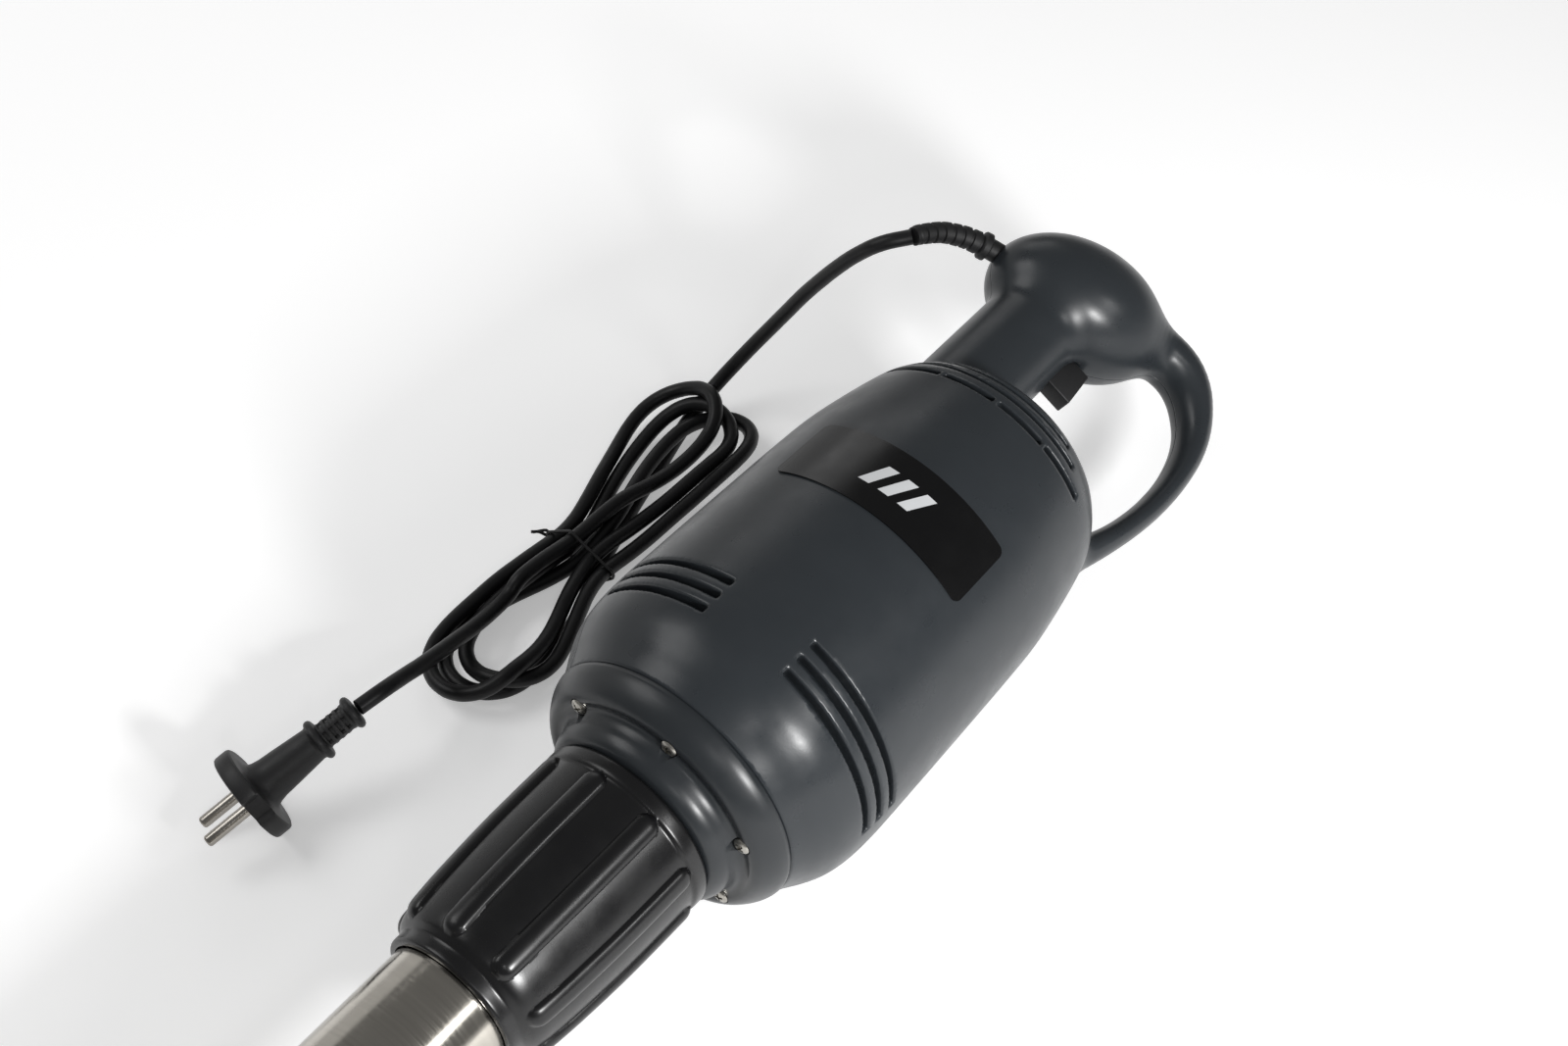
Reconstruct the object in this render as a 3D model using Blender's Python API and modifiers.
"""Professional immersion (stick) blender with a detachable shaft, lying on its side.

The tool is built upright around a local Z axis: the housing's lower seam is at zero, the handle
above it and the blade below it. Local X points at the guard loop, and the housing's two shells
part on the plane Y = 0. One empty then lays the whole tool down along the row's X axis.
The mains cord and its plug lie on the floor beside it and are placed in the row's own frame.
"""

import math

import bmesh
import bpy
from mathutils import Matrix, Vector

# Driving dimensions, in metres.
GAP = 0.0003  # between pieces that touch
WALL = 0.003  # moulded shell
EASED = 0.001  # the rounding of the small moulded boxes
SHELL_STEPS = 30  # sides of the turned housing
FIT_STEPS = 24  # sides of the large rings that fit inside each other
AXIS_HEIGHT = 0.0632  # the axis above the floor: the housing's largest radius
ROLL = math.radians(30)  # the guard loop points this far below level
TOP = 0.2974  # the loop's highest point
BELL_END = -0.4426  # the guard's rim
SHIFT = -(TOP + BELL_END) / 2  # centres the tool's length on the origin

HOUSING = [  # radius and height of the motor housing, from its crown down
    (0.0, 0.2035), (0.024, 0.2005), (0.036, 0.1965), (0.044, 0.1915), (0.0486, 0.186),
    (0.0520, 0.180), (0.0544, 0.173), (0.0575, 0.157), (0.0600, 0.140), (0.0610, 0.124),
    (0.0619, 0.096), (0.0626, 0.070), (0.0631, 0.048), (0.0632, 0.036), (0.0626, 0.026),
    (0.0610, 0.018), (0.0582, 0.0115), (0.0548, 0.0055), (0.0522, 0.0003),
]  # fmt: skip
NECK_X, NECK_R = -0.026, 0.020
NECK_LOW, NECK_HIGH = 0.186, 0.268
BALL_X, BALL_Z = -0.020, 0.270
BALL_LONG, BALL_WIDE, BALL_SHORT = 0.039, 0.0295, 0.0265
BALL_TILT = math.radians(20)
LOOP = [  # centre line x and z, half thickness and half width of the guard loop
    (0.002, 0.281, 0.0120, 0.0150), (0.016, 0.2862, 0.0105, 0.0132),
    (0.027, 0.2874, 0.0098, 0.0122), (0.036, 0.2845, 0.0090, 0.0114),
    (0.0435, 0.2785, 0.0079, 0.0108), (0.0500, 0.2700, 0.0068, 0.0102),
    (0.0545, 0.2590, 0.0059, 0.0097), (0.0570, 0.2450, 0.0052, 0.0093),
    (0.0573, 0.2310, 0.0050, 0.0090), (0.0562, 0.2190, 0.0050, 0.0089),
    (0.0540, 0.2070, 0.0052, 0.0089), (0.0510, 0.1960, 0.0058, 0.0090),
    (0.0475, 0.1860, 0.0066, 0.0092), (0.0440, 0.1770, 0.0070, 0.0094),
]  # fmt: skip

SLOT_HEIGHT, SLOT_PITCH, SLOT_LOWEST = 0.0030, 0.0070, 0.0264
SLOT_ARCS = ((-94, -25), (-174, -126))  # in degrees about the axis
LOUVRES = (  # height, height of the slit, and its arcs in degrees
    (0.173, 0.0026, ((-165, -137), (-135, -111), (-109, -86), (-84, -60))),
    (0.180, 0.0024, ((-159, -69),)),
    (0.186, 0.0024, ((-150, -75),)),
)
LABEL_LOW, LABEL_HIGH = 0.0962, 0.1262
LABEL_ARC = (-151, -70)
LABEL_THICK = 0.0004

FLANGE_SCREW_R = 0.041
FLANGE_SCREWS = [-166 + 60 * k for k in range(6)]  # degrees about the axis
HOUSING_SCREWS = ((0.024, 0.2868), (-0.046, 0.262), (0.042, 0.180))  # x and z

TRIGGER_LOW, TRIGGER_HIGH = 0.2325, 0.2490
TRIGGER_HALF = 0.0047
TRIGGER_BACK, TRIGGER_FRONT = -0.0185, 0.0050

SHAFT_R = 0.0072  # the motor's shaft
DOG_R = 0.0076  # the hexagonal drive dog, across its corners
NUT_LOW = -0.1102
NUT_RIBS = 9
TUBE_R, TUBE_WALL = 0.0240, 0.0015
TUBE_TOP, TUBE_LOW = -0.0589, -0.3857
BLADE_SHAFT_R = 0.006
BLADE_R = 0.042
BLADE_WINGS = 3
FAN_VANES = 10
BELL_WINDOWS = 4
BRACKET_WINDOWS = 4

CORD_R = 0.00315
RELIEF = [  # the strain relief's centre line, in the tool's local frame
    (-0.0530, 0.0, 0.2620), (-0.0607, 0.0, 0.2591), (-0.0680, 0.0, 0.2555),
    (-0.0725, 0.0, 0.2525), (-0.0784, 0.0, 0.2469), (-0.0833, 0.0, 0.2387),
    (-0.0847, 0.0, 0.2351),
]  # fmt: skip
RELIEF_STEP = 0.0036
LEAD = [  # the cord from the strain relief to the hank, in the row's frame
    (0.3071, 0.0736, 0.1057), (0.3034, 0.0750, 0.1062), (0.2993, 0.0818, 0.1036),
    (0.2958, 0.0893, 0.0970), (0.2931, 0.0969, 0.0881), (0.2906, 0.1047, 0.0772),
    (0.2879, 0.1126, 0.0652), (0.2843, 0.1200, 0.0523), (0.2800, 0.1271, 0.0399),
    (0.2745, 0.1334, 0.0286), (0.2690, 0.1373, 0.0208), (0.2636, 0.1397, 0.0154),
]  # fmt: skip
HANK = [  # the outline of the folded bundle of cord on the floor, seen from above
    (0.0730, 0.1220), (0.0760, 0.1330), (0.0840, 0.1410), (0.0940, 0.1455),
    (0.1120, 0.1465), (0.1420, 0.1445), (0.1600, 0.1435), (0.1750, 0.1455),
    (0.1900, 0.1505), (0.2060, 0.1560), (0.2200, 0.1605), (0.2360, 0.1630),
    (0.2470, 0.1605), (0.2550, 0.1535), (0.2585, 0.1420), (0.2605, 0.1215),
    (0.2580, 0.1120), (0.2490, 0.1035), (0.2380, 0.1010), (0.2220, 0.1020),
    (0.2050, 0.1045), (0.1800, 0.1075), (0.1600, 0.1080), (0.1480, 0.1055),
    (0.1340, 0.1000), (0.1200, 0.0945), (0.1100, 0.0925), (0.0990, 0.0950),
    (0.0860, 0.1005), (0.0770, 0.1080),
]  # fmt: skip
HANK_HEIGHT = 0.0165
TAIL = [  # the cord from the hank to the plug
    (0.0885, 0.1278, 0.0203), (0.0723, 0.1250, 0.0272), (0.0570, 0.1232, 0.0336),
    (0.0490, 0.1225, 0.0361), (0.0440, 0.1230, 0.0366), (0.0389, 0.1244, 0.0352),
]  # fmt: skip
PLUG_TAIL = Vector((0.0383, 0.1246, 0.0349))
PLUG_FACE = Vector((-0.0086, 0.1379, 0.0178))
PIN_LINE = Vector((-0.405, -0.735, 0.543))  # the direction from one pin to the other
PIN_R, PIN_LENGTH, PIN_SPACING = 0.0024, 0.019, 0.019


def clear_scene():
    for old in list(bpy.data.objects):
        bpy.data.objects.remove(old, do_unlink=True)


def new_collection(name):
    collection = bpy.data.collections.new(name)
    bpy.context.scene.collection.children.link(collection)
    return collection


def material(name, color, roughness, metallic=0.0):
    made = bpy.data.materials.new(name)
    made.use_nodes = True
    shader = made.node_tree.nodes["Principled BSDF"]
    shader.inputs["Base Color"].default_value = (*color, 1.0)
    shader.inputs["Roughness"].default_value = roughness
    shader.inputs["Metallic"].default_value = metallic
    return made


def empty(name, parent=None, matrix=None):
    made = bpy.data.objects.new(name, None)
    made.empty_display_size = 0.02
    PARTS.objects.link(made)
    made.parent = parent
    if matrix is not None:
        made.matrix_local = matrix
    return made


def add(name, mesh, finish, parent, location=(0, 0, 0)):
    """A named sub-part, shaded smooth except at its edges."""
    made = bpy.data.objects.new(name, mesh)
    PARTS.objects.link(made)
    made.parent = parent
    made.location = location
    mesh.materials.append(finish)
    mesh.shade_smooth()
    mesh.set_sharp_from_angle(angle=math.radians(35))
    return made


def helper(name, mesh, parent, location=(0, 0, 0)):
    """A cutter or a shape that is joined to another object: hidden from the build."""
    made = bpy.data.objects.new(name, mesh)
    CUTTERS.objects.link(made)
    made.parent = parent
    made.location = location
    made.hide_render = True
    made.display_type = "WIRE"
    return made


def combine(target, other, operation):
    boolean = target.modifiers.new(other.name, "BOOLEAN")
    boolean.object = other
    boolean.operation = operation
    boolean.solver = "EXACT"
    return target


def finish_mesh(bm, name):
    bmesh.ops.recalc_face_normals(bm, faces=bm.faces)
    mesh = bpy.data.meshes.new(name)
    bm.to_mesh(mesh)
    bm.free()
    return mesh


def outline_mesh(name, profile, closed):
    """A profile of (radius, height) points in the XZ plane, for a Screw modifier."""
    mesh = bpy.data.meshes.new(name)
    count = len(profile)
    edges = [(i, (i + 1) % count) for i in range(count if closed else count - 1)]
    mesh.from_pydata([(r, 0, z) for r, z in profile], edges, [])
    return mesh


def turn(made, steps):
    screw = made.modifiers.new("turned", "SCREW")
    screw.steps = screw.render_steps = steps
    screw.use_merge_vertices = True
    screw.merge_threshold = 0.00001
    screw.use_smooth_shade = True
    return made


def turned(name, profile, finish, parent, steps=14):
    """A turned piece: a ring if its profile stays off the axis, else a solid of revolution."""
    closed = min(r for r, _ in profile) > 0
    return turn(add(name, outline_mesh(name, profile, closed), finish, parent), steps)


def turned_helper(name, profile, parent, steps=14):
    closed = min(r for r, _ in profile) > 0
    return turn(helper(name, outline_mesh(name, profile, closed), parent), steps)


def ring(inner, outer, low, high):
    """The profile of a plain ring, outer side first."""
    return [(outer, high), (outer, low), (inner, low), (inner, high)]


def box_mesh(name, low, high, rounding=0.0):
    """A box between two corners, with its edges rounded off if a rounding is given."""
    bm = bmesh.new()
    size = Vector(high) - Vector(low)
    middle = (Vector(high) + Vector(low)) / 2
    place = Matrix.Translation(middle) @ Matrix.Diagonal((*size, 1))
    bmesh.ops.create_cube(bm, size=1, matrix=place)
    if rounding > 0:
        edges = bm.edges[:]
        bmesh.ops.bevel(bm, geom=edges, offset=rounding, segments=2, affect="EDGES", profile=0.5)
    return finish_mesh(bm, name)


def rod_mesh(name, start, end, radius, sides=16):
    """A cylinder from one point to another."""
    start, end = Vector(start), Vector(end)
    aim = (end - start).to_track_quat("Z", "Y").to_matrix().to_4x4()
    bm = bmesh.new()
    bmesh.ops.create_cone(
        bm, cap_ends=True, segments=sides, radius1=radius, radius2=radius,
        depth=(end - start).length, matrix=Matrix.Translation((start + end) / 2) @ aim,
    )  # fmt: skip
    return finish_mesh(bm, name)


def ellipsoid_mesh(name, shrink, rings=10):
    """The handle's ball, made smaller all round by shrink."""
    bm = bmesh.new()
    radii = (BALL_LONG - shrink, BALL_WIDE - shrink, BALL_SHORT - shrink)
    turn_up = Matrix.Rotation(-BALL_TILT, 4, "Y")
    place = Matrix.Translation((BALL_X, 0, BALL_Z)) @ turn_up @ Matrix.Diagonal((*radii, 1))
    bmesh.ops.create_uvsphere(bm, u_segments=2 * rings, v_segments=rings, radius=1, matrix=place)
    return finish_mesh(bm, name)


def loft_into(bm, sections):
    """Joins closed sections of equal point count by quads, and caps both ends."""
    rings = [[bm.verts.new(p) for p in section] for section in sections]
    count = len(rings[0])
    for near, far in zip(rings, rings[1:]):
        for i in range(count):
            j = (i + 1) % count
            bm.faces.new((near[i], near[j], far[j], far[i]))
    bm.faces.new(rings[0][::-1])
    bm.faces.new(rings[-1])


def loop_mesh(name, sides=10):
    """The guard loop: ellipses that change size along its centre line."""
    sections = []
    for i, (x, z, half_thick, half_wide) in enumerate(LOOP):
        before, after = LOOP[max(i - 1, 0)], LOOP[min(i + 1, len(LOOP) - 1)]
        along = Vector((after[0] - before[0], 0, after[1] - before[1])).normalized()
        across = Vector((along.z, 0, -along.x))
        section = []
        for k in range(sides):
            angle = 2 * math.pi * (k + 0.5) / sides
            out = across * (half_thick * math.cos(angle))
            section.append(Vector((x, half_wide * math.sin(angle), z)) + out)
        sections.append(section)
    bm = bmesh.new()
    loft_into(bm, sections)
    return finish_mesh(bm, name)


def arc_block_into(bm, inner, outer, low, high, start, end, step=14):
    """A block bent round the axis between two angles in degrees."""
    count = max(2, round((end - start) / step))
    sections = []
    for i in range(count + 1):
        angle = math.radians(start + (end - start) * i / count)
        c, s = math.cos(angle), math.sin(angle)
        corners = ((inner, low), (outer, low), (outer, high), (inner, high))
        sections.append([Vector((r * c, r * s, z)) for r, z in corners])
    loft_into(bm, sections)


def housing_radius(height, inset=0.0):
    """The housing's outer radius at a height, less an inset."""
    for (r1, z1), (r2, z2) in zip(HOUSING, HOUSING[1:]):
        if z2 <= height <= z1:
            return r1 + (r2 - r1) * (z1 - height) / (z1 - z2) - inset
    return HOUSING[-1][0] - inset


def vent_cutter(side):
    """Every vent of one shell: groups of three slots low down and the louvres at the shoulder."""
    bm = bmesh.new()
    for start, end in SLOT_ARCS:
        for k in range(3):
            low = SLOT_LOWEST + k * SLOT_PITCH
            arc_block_into(bm, 0.054, 0.070, low, low + SLOT_HEIGHT, start, end)
    for height, opening, arcs in LOUVRES:
        radius = housing_radius(height)
        for start, end in arcs:
            low, high = height - opening / 2, height + opening / 2
            arc_block_into(bm, radius - 0.008, radius + 0.006, low, high, start, end)
    if side > 0:
        bmesh.ops.scale(bm, vec=(1, -1, 1), verts=bm.verts)
    name = "vent_cutter_rear" if side > 0 else "vent_cutter_front"
    return helper(name, finish_mesh(bm, "vents"), TOOL)


def cavity_profile():
    """The inside of the housing: its outside less the wall, open at the bottom."""
    inside = [(0.0, HOUSING[0][1] - WALL)]
    inside += [(r - WALL, z - WALL * 0.6) for r, z in HOUSING[1:-1:2]]
    return inside + [(HOUSING[-1][0] - WALL, -0.002), (0.0, -0.002)]


def housing_helpers():
    """The shapes that both shells are joined from and cut with."""
    neck = ((NECK_X, 0, NECK_LOW), (NECK_X, 0, NECK_HIGH))
    joined = [
        helper("neck_form", rod_mesh("neck_form", *neck, NECK_R, 20), TOOL),
        helper("ball_form", ellipsoid_mesh("ball_form", 0), TOOL),
        helper("loop_form", loop_mesh("loop_form"), TOOL),
    ]
    hollow = ((NECK_X, 0, NECK_LOW - 0.004), (NECK_X, 0, NECK_HIGH))
    removed = [
        turned_helper("body_cavity", cavity_profile(), TOOL, FIT_STEPS),
        helper("neck_cavity", rod_mesh("neck_cavity", *hollow, NECK_R - WALL, 16), TOOL),
        helper("ball_cavity", ellipsoid_mesh("ball_cavity", WALL, 8), TOOL),
    ]
    bosses = [
        helper(f"boss_{i}", rod_mesh("boss", (x, -reach, z), (x, reach, z), 0.0052, 12), TOOL)
        for i, ((x, z), reach) in enumerate(zip(HOUSING_SCREWS[1:], (0.014, 0.022)))
    ]
    low, high = (-0.0135, -TRIGGER_HALF - 0.0005), (0.012, TRIGGER_HALF + 0.0005)
    slot = box_mesh("slot", (*low, TRIGGER_LOW - 0.0005), (*high, TRIGGER_HIGH + 0.0005))
    relief = Vector(RELIEF[0])
    aim = (Vector(RELIEF[1]) - relief).normalized()
    hole = rod_mesh("hole", relief - aim * 0.008, relief + aim * 0.020, 0.0050, 16)
    cuts = [helper("trigger_slot", slot, TOOL), helper("cord_hole", hole, TOOL)]
    return joined, removed, bosses, cuts


def housing_shells():
    """The two moulded shells, front at -Y and rear at +Y, each with its half of the loop."""
    joined, removed, bosses, cuts = housing_helpers()
    outside = HOUSING + [(0.0, HOUSING[-1][1])]
    for name, side in (("housing_front", -1), ("housing_rear", 1)):
        shell = turned(name, outside, HOUSING_GREY, TOOL, SHELL_STEPS)
        for form in joined:
            combine(shell, form, "UNION")
        for form in removed:
            combine(shell, form, "DIFFERENCE")
        for form in bosses:
            combine(shell, form, "UNION")
        near, far = sorted((side * GAP / 2, side * 0.1))
        half = helper(f"{name}_half", box_mesh("half", (-0.1, near, -0.01), (0.1, far, 0.4)), TOOL)
        combine(shell, half, "INTERSECT")
        combine(shell, vent_cutter(side), "DIFFERENCE")
        for form in cuts:
            combine(shell, form, "DIFFERENCE")
        for i, (x, z) in enumerate(HOUSING_SCREWS):
            combine(shell, screw_hole(f"{name}_screw_hole_{i}", x, z, side), "DIFFERENCE")


def across(made, x, z):
    """Stands a turned piece along the tool's Y axis, at a place on the parting plane."""
    made.location = (x, 0, z)
    made.rotation_euler.x = math.radians(-90)
    return made


def screw_hole(name, x, z, side):
    """A pilot hole in the front shell, or a clearance hole and counterbore in the rear one."""
    if side < 0:
        profile = [(0.0, 0.002), (0.0018, 0.002), (0.0018, -0.009), (0.0, -0.009)]
    else:
        profile = [
            (0.0, 0.040), (0.0035, 0.040), (0.0035, 0.006), (0.0020, 0.006),
            (0.0020, -0.002), (0.0, -0.002),
        ]  # fmt: skip
    return across(turned_helper(name, profile, TOOL, 10), x, z)


def housing_screws():
    profile = [
        (0.0, 0.0086), (0.0031, 0.0086), (0.0031, 0.0063), (0.0015, 0.0063),
        (0.0015, -0.0080), (0.0, -0.0080),
    ]  # fmt: skip
    for i, (x, z) in enumerate(HOUSING_SCREWS):
        across(turned(f"housing_screw_{i + 1}", profile, STEEL, TOOL, 10), x, z)


def label_plate():
    """The wrap-round label on the front shell."""
    inner = housing_radius(LABEL_LOW) + GAP
    lean = housing_radius(LABEL_HIGH) - housing_radius(LABEL_LOW)
    start, end = LABEL_ARC
    sections = []
    for i in range(15):
        angle = math.radians(start + (end - start) * i / 14)
        c, s = math.cos(angle), math.sin(angle)
        corners = (
            (inner, LABEL_LOW), (inner + LABEL_THICK, LABEL_LOW),
            (inner + lean + LABEL_THICK, LABEL_HIGH), (inner + lean, LABEL_HIGH),
        )  # fmt: skip
        sections.append([Vector((r * c, r * s, z)) for r, z in corners])
    bm = bmesh.new()
    loft_into(bm, sections)
    add("label_plate", finish_mesh(bm, "label_plate"), GLOSS_BLACK, TOOL)


def bottom_flange():
    """The end cap under the motor, with the threaded spigot that the coupling nut grips."""
    profile = [
        (0.0486, 0.0080), (0.0486, 0.0000), (0.0520, 0.0000), (0.0524, -0.0020),
        (0.0515, -0.0048), (0.0496, -0.0080), (0.0470, -0.0110), (0.0448, -0.0126),
        (0.0430, -0.0128), (0.0412, -0.0118), (0.0396, -0.0120), (0.0387, -0.0140),
        (0.0381, -0.0175), (0.0370, -0.0198), (0.0355, -0.0214), (0.0345, -0.0224),
        (0.0300, -0.0224), (0.0300, -0.0500),
        (0.0200, -0.0500), (0.0200, -0.0240), (0.0120, -0.0240), (0.0120, -0.0120),
        (0.0178, -0.0120), (0.0178, 0.0020), (0.0240, 0.0020), (0.0240, -0.0080),
        (0.0455, -0.0080), (0.0455, 0.0080),
    ]  # fmt: skip
    flange = turned("bottom_flange", profile, FLANGE_GREY, TOOL, FIT_STEPS)
    hole = [
        (0.0, -0.0040), (0.0022, -0.0040), (0.0022, -0.0098), (0.0042, -0.0098),
        (0.0042, -0.0260), (0.0, -0.0260),
    ]  # fmt: skip
    for i, (x, y) in enumerate(screw_places()):
        cutter = turned_helper(f"flange_hole_{i + 1}", hole, TOOL, 10)
        cutter.location = (x, y, 0)
        combine(flange, cutter, "DIFFERENCE")


def screw_places():
    angles = [math.radians(a) for a in FLANGE_SCREWS]
    return [(FLANGE_SCREW_R * math.cos(a), FLANGE_SCREW_R * math.sin(a)) for a in angles]


def flange_screws():
    """Six screws through the end cap into the lower bracket."""
    profile = [
        (0.0, 0.0000), (0.0015, 0.0000), (0.0015, -0.0101), (0.0036, -0.0101),
        (0.0038, -0.0115), (0.0030, -0.0129), (0.0, -0.0132),
    ]  # fmt: skip
    for i, (x, y) in enumerate(screw_places()):
        screw = turned(f"flange_screw_{i + 1}", profile, STEEL, TOOL, 10)
        screw.location = (x, y, 0)


def motor_brackets():
    """The lower bracket holds the stator and the end cap's screws, the upper one a bearing."""
    lower = [
        (0.0452, 0.0560), (0.0452, -0.0077), (0.0245, -0.0077), (0.0245, 0.0030),
        (0.0420, 0.0030), (0.0420, 0.0560),
    ]  # fmt: skip
    bracket = turned("lower_bracket", lower, CAST, TOOL, FIT_STEPS)
    for k in range(BRACKET_WINDOWS):
        window = box_mesh("window", (0.030, -0.021, 0.008), (0.060, 0.021, 0.050))
        cutter = helper(f"bracket_window_{k + 1}", window, TOOL)
        cutter.rotation_euler.z = math.radians(45 + 360 * k / BRACKET_WINDOWS)
        combine(bracket, cutter, "DIFFERENCE")
    for i, (x, y) in enumerate(screw_places()):
        hole = rod_mesh("hole", (x, y, -0.010), (x, y, 0.0008), 0.0018, 8)
        combine(bracket, helper(f"bracket_hole_{i + 1}", hole, TOOL), "DIFFERENCE")
    upper = [
        (0.0540, 0.1520), (0.0540, 0.1475), (0.0180, 0.1475), (0.0180, 0.1440),
        (0.0145, 0.1440), (0.0145, 0.1550), (0.0070, 0.1550), (0.0070, 0.1580),
        (0.0180, 0.1580), (0.0180, 0.1520),
    ]  # fmt: skip
    turned("upper_bracket", upper, CAST, TOOL, FIT_STEPS)


def bearings_and_seals():
    turned("lower_bearing", ring(SHAFT_R + GAP, 0.0175, -0.0117, -0.0007), STEEL, TOOL)
    turned("upper_bearing", ring(0.0060, 0.0142, 0.1443, 0.1547), STEEL, TOOL)
    turned("motor_seal", ring(SHAFT_R + GAP, 0.0117, -0.0237, -0.0123), RUBBER, TOOL)


def stator():
    """The laminated core and the two field coils inside it."""
    turned("stator_core", ring(0.0335, 0.0448, 0.0565, 0.1060), STEEL, TOOL, FIT_STEPS)
    for name, side in (("field_coil_left", -1), ("field_coil_right", 1)):
        coil = turned(name, ring(0.0265, 0.0331, 0.0500, 0.1120), COPPER, TOOL, FIT_STEPS)
        near, far = sorted((side * 0.012, side * 0.05))
        half = box_mesh("side", (near, -0.05, 0.04), (far, 0.05, 0.12))
        combine(coil, helper(f"{name}_part", half, TOOL), "INTERSECT")


def brushes():
    """A carbon brush in a holder on each side of the commutator."""
    low, high = 0.1240, 0.1360
    for name, side in (("left", -1), ("right", 1)):
        near, far = sorted((side * 0.0190, side * 0.0450))
        corners = ((-0.0065, near, low - 0.002), (0.0065, far, high + 0.002))
        holder = add(f"brush_holder_{name}", box_mesh("holder", *corners, EASED), BRASS, TOOL)
        near, far = sorted((side * 0.0150, side * 0.0420))
        way = box_mesh("way", (-0.0043, near, low - 0.0003), (0.0043, far, high + 0.0003))
        combine(holder, helper(f"brush_way_{name}", way, TOOL), "DIFFERENCE")
        near, far = sorted((side * 0.0145, side * 0.0400))
        brush = box_mesh("brush", (-0.0040, near, low), (0.0040, far, high))
        add(f"carbon_brush_{name}", brush, CARBON, TOOL)


def rotor():
    """Everything that spins with the motor's shaft."""
    parent = empty("rotor_axis", TOOL)
    shaft = [
        (0.0, 0.1560), (0.0057, 0.1560), (0.0057, 0.1420), (SHAFT_R, 0.1420),
        (SHAFT_R, -0.0260), (0.0050, -0.0260), (0.0050, -0.0400), (0.0, -0.0400),
    ]  # fmt: skip
    turned("rotor_shaft", shaft, STEEL, parent)
    bore = SHAFT_R + GAP
    turned("armature_core", ring(bore, 0.0240, 0.0600, 0.1020), STEEL, parent)
    for name, low, high in (("lower", 0.0500, 0.0597), ("upper", 0.1023, 0.1120)):
        middle = (low + high) / 2
        winding = [
            (0.0200, high), (0.0226, middle), (0.0200, low), (0.0110, low),
            (bore, middle), (0.0110, high),
        ]  # fmt: skip
        turned(f"armature_winding_{name}", winding, COPPER, parent)
    turned("commutator", ring(bore, 0.0140, 0.1180, 0.1400), COPPER, parent)
    fan = turned("cooling_fan", ring(bore, 0.0130, 0.0070, 0.0260), FAN_PLASTIC, parent)
    disc = turned_helper("fan_disc", ring(0.0090, 0.0390, 0.0240, 0.0260), parent)
    combine(fan, disc, "UNION")
    for k in range(FAN_VANES):
        blank = box_mesh("vane", (0.0120, -0.0008, 0.0090), (0.0385, 0.0008, 0.0250))
        vane = helper(f"fan_vane_{k}", blank, parent)
        vane.rotation_euler.z = math.radians(360 * k / FAN_VANES)
        combine(fan, vane, "UNION")
    dog = [
        (0.0, -0.0403), (0.0053, -0.0403), (0.0053, -0.0264), (0.0110, -0.0264),
        (0.0110, -0.0400), (0.0060, -0.0410), (0.0, -0.0410),
    ]  # fmt: skip
    dog = turned("drive_dog", dog, STEEL, parent)
    hexagon = rod_mesh("hexagon", (0, 0, -0.0560), (0, 0, -0.0405), DOG_R, 6)
    combine(dog, helper("dog_hexagon", hexagon, parent), "UNION")


def trigger():
    """The dead-man's trigger, which slides into the neck, and the switch behind it."""
    parent = empty("trigger_axis", TOOL, Matrix.Translation((TRIGGER_FRONT, 0, TRIGGER_HIGH)))
    bm = bmesh.new()
    shape = [
        (TRIGGER_BACK, TRIGGER_LOW), (TRIGGER_FRONT, TRIGGER_LOW),
        (TRIGGER_FRONT - 0.0028, TRIGGER_HIGH), (TRIGGER_BACK, TRIGGER_HIGH),
    ]  # fmt: skip
    loft_into(bm, [[Vector((x, y, z)) for x, z in shape] for y in (-TRIGGER_HALF, TRIGGER_HALF)])
    bmesh.ops.bevel(bm, geom=bm.edges[:], offset=0.0008, segments=2, affect="EDGES", profile=0.5)
    bmesh.ops.translate(bm, vec=(-TRIGGER_FRONT, 0, -TRIGGER_HIGH), verts=bm.verts)
    key = add("trigger_button", finish_mesh(bm, "trigger"), MATTE_BLACK, parent)
    low = (TRIGGER_BACK, -0.0080, TRIGGER_LOW - 0.003)
    high = (-0.0140, 0.0080, TRIGGER_HIGH + 0.003)
    base = helper("trigger_base", box_mesh("base", low, high), TOOL)
    combine(key, base, "UNION")
    switch = box_mesh("switch", (-0.0400, -0.0078, 0.2260), (-0.0232, 0.0078, 0.2560), EASED)
    add("switch_body", switch, MATTE_BLACK, TOOL)


def electrics():
    """The suppression capacitor in the ball and the terminal block above the motor."""
    along = Vector((math.cos(BALL_TILT), 0, math.sin(BALL_TILT)))
    middle = Vector((BALL_X + 0.004, 0, BALL_Z + 0.006))
    ends = (middle - along * 0.013, middle + along * 0.015)
    add("capacitor", rod_mesh("capacitor", *ends, 0.0085, 20), MATTE_BLACK, TOOL)
    block = box_mesh("block", (-0.040, -0.012, 0.1660), (-0.008, 0.012, 0.1780), EASED)
    add("terminal_block", block, FAN_PLASTIC, TOOL)


def rib_mesh(top, bottom, radius, flatten):
    """A long half-round rib of the nut: a rod with ball ends, made flatter along its own Y."""
    bm = bmesh.new()
    length = (top - bottom).length
    bmesh.ops.create_uvsphere(bm, u_segments=8, v_segments=6, radius=radius)
    for vert in bm.verts:
        vert.co.z += math.copysign(length / 2, vert.co.z) if abs(vert.co.z) > 1e-6 else 0
    aim = (top - bottom).to_track_quat("Z", "X").to_matrix().to_4x4()
    place = Matrix.Translation((top + bottom) / 2) @ aim @ Matrix.Diagonal((flatten, 1, 1, 1))
    bmesh.ops.transform(bm, matrix=place, verts=bm.verts)
    return finish_mesh(bm, "rib")


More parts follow.
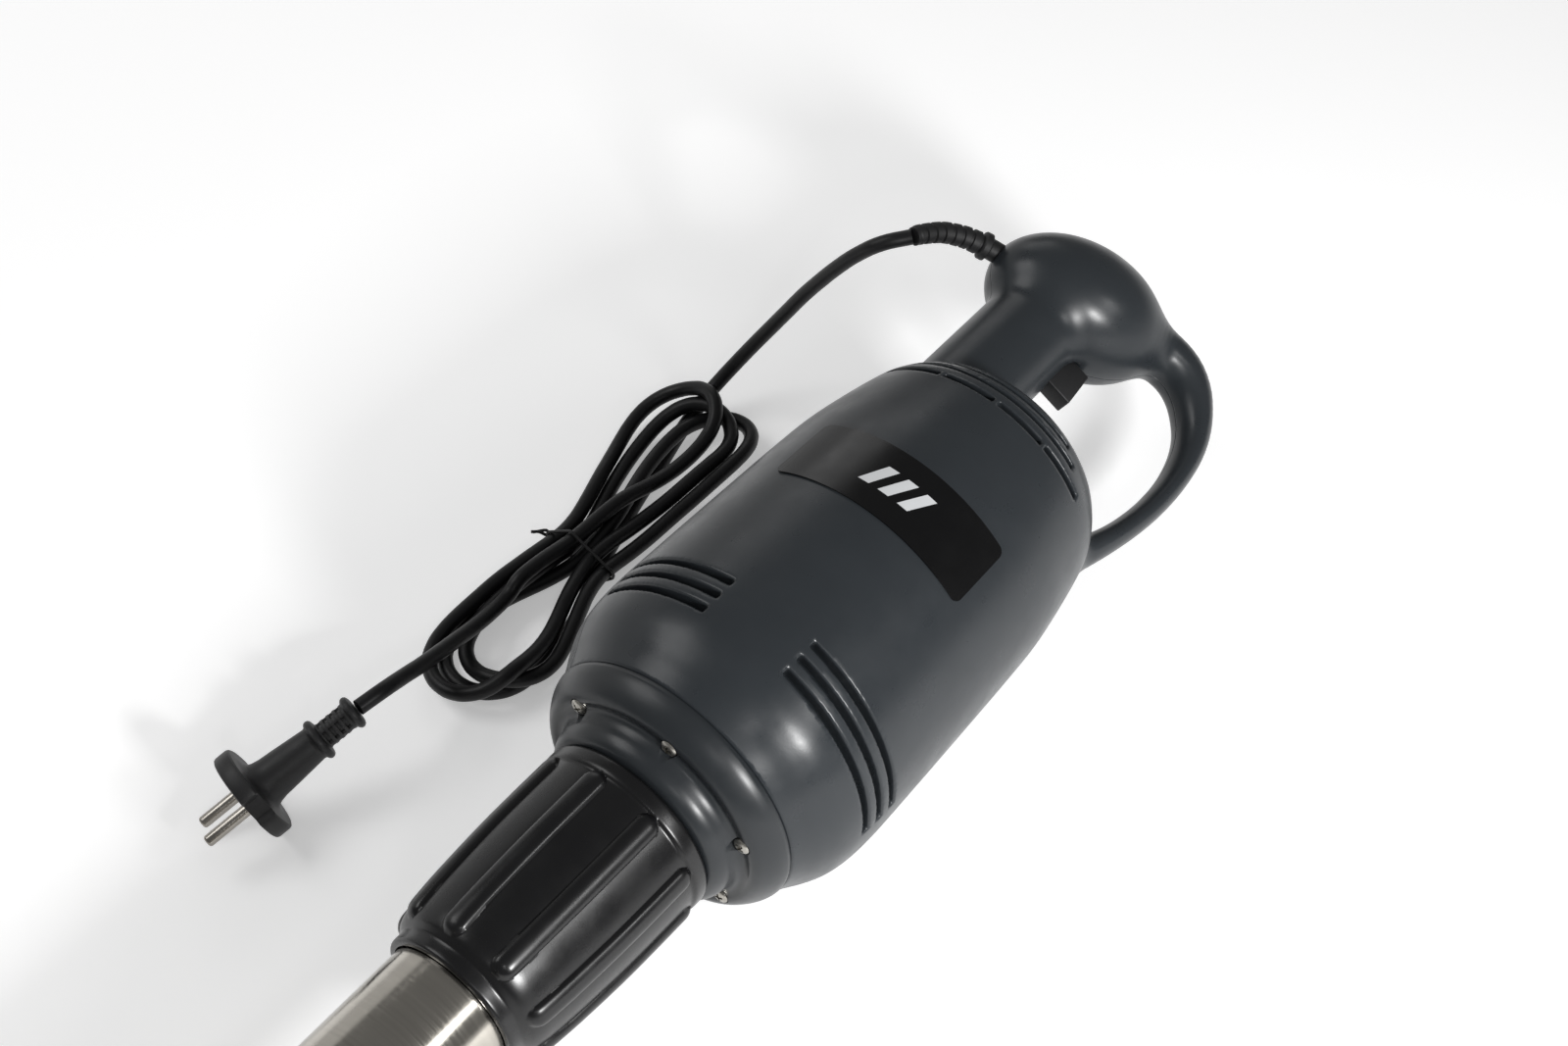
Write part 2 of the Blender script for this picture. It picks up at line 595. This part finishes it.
def coupling_nut():
    """The ribbed nut that holds the shaft's collar against the spigot."""
    parent = empty("nut_axis", TOOL)
    profile = [
        (0.0340, -0.0230), (0.0352, -0.0245), (0.0352, -0.0285), (0.0336, -0.0305),
        (0.0333, -0.0600), (0.0322, -0.0850), (0.0312, -0.0960), (0.0300, -0.1015),
        (0.0276, -0.1042), (0.0271, -0.1060), (0.0271, -0.1090), (0.0264, NUT_LOW),
        (0.0245, NUT_LOW), (0.0245, -0.0590),
        (0.0306, -0.0590), (0.0306, -0.0230),
    ]  # fmt: skip
    nut = turned("coupling_nut", profile, NUT_BLACK, parent, 3 * NUT_RIBS)
    for k in range(NUT_RIBS):
        rib = rib_mesh(Vector((0.0335, 0, -0.0350)), Vector((0.0311, 0, -0.0965)), 0.0046, 0.48)
        form = helper(f"nut_rib_{k + 1}", rib, parent)
        form.rotation_euler.z = math.radians(-87 + 360 * k / NUT_RIBS)
        combine(nut, form, "UNION")


def shaft_tube():
    """The stainless tube, the collar in its top and the bearing in that collar."""
    parent = empty("shaft_axis", TOOL)
    tube = ring(TUBE_R - TUBE_WALL, TUBE_R, TUBE_LOW, TUBE_TOP)
    turned("shaft_tube", tube, STAINLESS, parent, FIT_STEPS)
    inside = TUBE_R - TUBE_WALL - GAP
    collar = [
        (0.0296, -0.0506), (0.0296, TUBE_TOP + GAP), (inside, TUBE_TOP + GAP), (inside, -0.0900),
        (0.0143, -0.0900), (0.0143, -0.0780), (0.0090, -0.0780), (0.0090, -0.0745),
        (0.0145, -0.0745), (0.0145, -0.0506),
    ]  # fmt: skip
    turned("shaft_collar", collar, STEEL, parent, FIT_STEPS)
    turned("collar_bearing", ring(BLADE_SHAFT_R + GAP, 0.0140, -0.0880, -0.0783), STEEL, parent)
    return parent


def bell(parent):
    """The guard round the blade, with its windows, and the bearing and seal above the blade."""
    inside = TUBE_R - TUBE_WALL - GAP
    collar = TUBE_LOW - GAP
    rim = BELL_END
    profile = [
        (inside, -0.3740), (inside, collar), (TUBE_R, collar), (0.0255, -0.3930),
        (0.0320, -0.4015), (0.0440, -0.4090), (0.0520, -0.4180), (0.0550, -0.4290),
        (0.0550, rim), (0.0526, rim), (0.0526, -0.4295), (0.0498, -0.4198),
        (0.0435, -0.4120), (0.0340, -0.4060), (0.0180, -0.4060), (0.0180, -0.4100),
        (0.0080, -0.4100), (0.0080, -0.4065), (0.0133, -0.4065), (0.0133, -0.3740),
    ]  # fmt: skip
    guard = turned("bell_guard", profile, STAINLESS, parent, FIT_STEPS)
    for k in range(BELL_WINDOWS):
        window = box_mesh("window", (0.040, -0.0120, -0.4360), (0.070, 0.0120, -0.4240))
        cutter = helper(f"bell_window_{k + 1}", window, parent)
        cutter.rotation_euler.z = math.radians(45 + 360 * k / BELL_WINDOWS)
        combine(guard, cutter, "DIFFERENCE")
    bore = BLADE_SHAFT_R + GAP
    turned("bell_bearing", ring(bore, 0.0130, -0.3860, -0.3760), STEEL, parent)
    turned("bell_seal", ring(bore, 0.0130, -0.4060, -0.3980), RUBBER, parent)


def blade_line(shaft):
    """The drive socket, the long shaft, the blade and the screw that holds it."""
    parent = empty("blade_axis", shaft)
    socket = [
        (0.0, -0.0420), (0.0125, -0.0420), (0.0125, -0.0720), (0.0043, -0.0720),
        (0.0043, -0.0620), (0.0, -0.0620),
    ]  # fmt: skip
    socket = turned("drive_socket", socket, STEEL, parent)
    pocket = rod_mesh("pocket", (0, 0, -0.0585), (0, 0, -0.0400), DOG_R + 0.0006, 6)
    combine(socket, helper("socket_pocket", pocket, parent), "DIFFERENCE")
    shaft_profile = [
        (0.0, -0.0623), (0.0040, -0.0623), (0.0040, -0.0723), (BLADE_SHAFT_R, -0.0723),
        (BLADE_SHAFT_R, -0.4180), (0.0040, -0.4180), (0.0040, -0.4280), (0.0, -0.4280),
    ]  # fmt: skip
    turned("blade_shaft", shaft_profile, STAINLESS, parent)
    knife = turned("blade", ring(0.0043, 0.0090, -0.4275, -0.4183), STAINLESS, parent)
    for k in range(BLADE_WINGS):
        wing = helper(f"blade_wing_{k + 1}", wing_mesh(), parent)
        wing.rotation_euler.z = math.radians(360 * k / BLADE_WINGS)
        combine(knife, wing, "UNION")
    screw = [
        (0.0, -0.4283), (0.0070, -0.4283), (0.0070, -0.4310), (0.0045, -0.4328), (0.0, -0.4332),
    ]  # fmt: skip
    turned("blade_screw", screw, STAINLESS, parent)


def wing_mesh():
    """One wing of the blade: flat, swept back, and thinned to an edge in front."""
    bm = bmesh.new()
    stations = (  # radius, half width, sweep and height
        (0.0065, 0.0070, 0.0, -0.4226),
        (0.0240, 0.0066, -0.0010, -0.4232),
        (BLADE_R, 0.0040, -0.0060, -0.4255),
    )
    thick = 0.0011
    sections = []
    for r, half, sweep, z in stations:
        corners = (
            (-half, thick), (half * 0.5, thick), (half, 0.0), (half * 0.5, -thick), (-half, -thick),
        )  # fmt: skip
        sections.append([Vector((r, sweep + y, z + dz)) for y, dz in corners])
    loft_into(bm, sections)
    return finish_mesh(bm, "wing")


def smooth_route(points, spacing):
    """Points at even spacing along a Catmull-Rom curve through the given ones."""
    points = [Vector(p) for p in points]
    path = [2 * points[0] - points[1], *points, 2 * points[-1] - points[-2]]
    fine = []
    for a, b, c, d in zip(path, path[1:], path[2:], path[3:]):
        for k in range(16):
            t = k / 16
            fine.append(
                0.5 * (2 * b + (c - a) * t + (2 * a - 5 * b + 4 * c - d) * t**2
                       + (3 * b - a - 3 * c + d) * t**3)
            )  # fmt: skip
    fine.append(points[-1])
    travelled = [0.0]
    for a, b in zip(fine, fine[1:]):
        travelled.append(travelled[-1] + (b - a).length)
    count = max(2, round(travelled[-1] / spacing))
    even, i = [], 0
    for k in range(count + 1):
        goal = travelled[-1] * k / count
        while i < len(fine) - 2 and travelled[i + 1] < goal:
            i += 1
        share = (goal - travelled[i]) / (travelled[i + 1] - travelled[i])
        even.append(fine[i].lerp(fine[i + 1], min(share, 1.0)))
    return even


def cord_tube(name, route):
    """One free stretch of the cord: a round tube with closed ends."""
    curve = bpy.data.curves.new(name, "CURVE")
    curve.dimensions = "3D"
    curve.bevel_depth = CORD_R
    curve.bevel_resolution = 2
    curve.use_fill_caps = True
    spline = curve.splines.new("POLY")
    points = smooth_route(route, 1.6 * CORD_R)
    spline.points.add(len(points) - 1)
    for target, point in zip(spline.points, points):
        target.co = (*point, 1)
    curve.materials.append(CORD_BLACK)
    made = bpy.data.objects.new(name, curve)
    PARTS.objects.link(made)
    return made


def strain_relief():
    """The rubber sleeve where the cord leaves the handle: a ribbed taper along a gentle bend."""
    middle = smooth_route(RELIEF, RELIEF_STEP)
    sections = []
    for i, point in enumerate(middle):
        before, after = middle[max(i - 1, 0)], middle[min(i + 1, len(middle) - 1)]
        along = (after - before).normalized()
        side = along.cross(Vector((0, 1, 0))).normalized()
        up = side.cross(along)
        share = i / (len(middle) - 1)
        radius = 0.0044 if i < 3 else 0.0056 - 0.0014 * share
        angles = [2 * math.pi * k / 14 for k in range(14)]
        sections.append([point + radius * (side * math.cos(a) + up * math.sin(a)) for a in angles])
    bm = bmesh.new()
    loft_into(bm, sections)
    add("strain_relief", finish_mesh(bm, "strain_relief"), RUBBER, TOOL)


def cord_hank():
    """The folded bundle of cord, as one plain solid of its outer shape with its rim rounded off."""
    centre = Vector((sum(x for x, _ in HANK), sum(y for _, y in HANK))) / len(HANK)
    layers = ((0.0002, 0.0015), (0.0020, 0.0), (HANK_HEIGHT - 0.0030, 0.0), (HANK_HEIGHT, 0.0025))
    sections = []
    for z, inset in layers:
        sections.append([])
        for point in HANK:
            inward = (centre - Vector(point)).normalized() * inset
            sections[-1].append(Vector((*(Vector(point) + inward), z)))
    bm = bmesh.new()
    loft_into(bm, sections)
    add("cord_hank", finish_mesh(bm, "cord_hank"), CORD_BLACK, None)


def plug():
    """The moulded two-pin plug, built along its own axis with the pins at the far end."""
    aim = (PLUG_FACE - PLUG_TAIL).to_track_quat("Z", "X").to_matrix().to_4x4()
    axis = empty("plug_axis", None, Matrix.Translation(PLUG_TAIL) @ aim)
    length = (PLUG_FACE - PLUG_TAIL).length
    profile = [
        (0.0, length), (0.0175, length), (0.0187, length - 0.0012), (0.0187, length - 0.0056),
        (0.0175, length - 0.0068), (0.0092, length - 0.0072), (0.0086, length - 0.0200),
        (0.0080, 0.0192), (0.0084, 0.0186), (0.0084, 0.0162), (0.0054, 0.0156),
        (0.0054, 0.0040), (0.0068, 0.0034), (0.0068, 0.0010), (0.0050, 0.0003), (0.0, 0.0003),
    ]  # fmt: skip
    body = turned("plug_body", profile, MATTE_BLACK, axis, 16)
    line = aim.to_3x3().transposed() @ PIN_LINE
    line = Vector((line.x, line.y)).normalized()
    for k, side in enumerate((-1, 1)):
        x, y = line * (side * PIN_SPACING / 2)
        ends = ((x, y, length - 0.004), (x, y, length + 0.004))
        socket = rod_mesh("pin_socket", *ends, PIN_R + GAP, 10)
        combine(body, helper(f"pin_socket_{k + 1}", socket, axis), "DIFFERENCE")
        tip = length + PIN_LENGTH
        pin = [
            (0.0, tip), (0.0014, tip), (PIN_R, tip - 0.0012), (PIN_R, length - 0.0037),
            (0.0, length - 0.0037),
        ]  # fmt: skip
        pin = turned(f"plug_pin_{k + 1}", pin, NICKEL, axis, 10)
        pin.location = (x, y, 0)


clear_scene()
PARTS = new_collection("immersion_blender")
CUTTERS = new_collection("cutters")

HOUSING_GREY = material("housing_grey", (0.040, 0.044, 0.050), 0.42)
FLANGE_GREY = material("flange_grey", (0.040, 0.045, 0.054), 0.40)
NUT_BLACK = material("nut_black", (0.006, 0.006, 0.007), 0.30)
GLOSS_BLACK = material("gloss_black", (0.003, 0.003, 0.003), 0.15)
MATTE_BLACK = material("matte_black", (0.010, 0.010, 0.011), 0.55)
CORD_BLACK = material("cord_black", (0.007, 0.007, 0.008), 0.40)
RUBBER = material("black_rubber", (0.008, 0.008, 0.009), 0.60)
STAINLESS = material("stainless_steel", (0.56, 0.55, 0.53), 0.22, 1.0)
STEEL = material("machined_steel", (0.46, 0.46, 0.47), 0.35, 1.0)
NICKEL = material("nickel", (0.66, 0.63, 0.58), 0.25, 1.0)
CAST = material("cast_aluminium", (0.50, 0.50, 0.52), 0.50, 1.0)
COPPER = material("copper_winding", (0.62, 0.26, 0.12), 0.38, 1.0)
BRASS = material("brass", (0.70, 0.50, 0.22), 0.35, 1.0)
CARBON = material("carbon", (0.02, 0.02, 0.02), 0.70)
FAN_PLASTIC = material("fan_plastic", (0.10, 0.10, 0.11), 0.50)

# The tool's local Z lies along the row's X, and its X points sideways and down by the roll.
LAID_DOWN = Matrix((
    (0, 0, 1, SHIFT),
    (-math.cos(ROLL), math.sin(ROLL), 0, 0),
    (-math.sin(ROLL), -math.cos(ROLL), 0, AXIS_HEIGHT),
    (0, 0, 0, 1),
))  # fmt: skip
TOOL = empty("tool_axis", None, LAID_DOWN)

housing_shells()
housing_screws()
label_plate()
bottom_flange()
flange_screws()
motor_brackets()
bearings_and_seals()
stator()
brushes()
rotor()
trigger()
electrics()
coupling_nut()
SHAFT = shaft_tube()
bell(SHAFT)
blade_line(SHAFT)
strain_relief()
cord_tube("lead_cord", LEAD)
cord_hank()
cord_tube("plug_cord", TAIL)
plug()
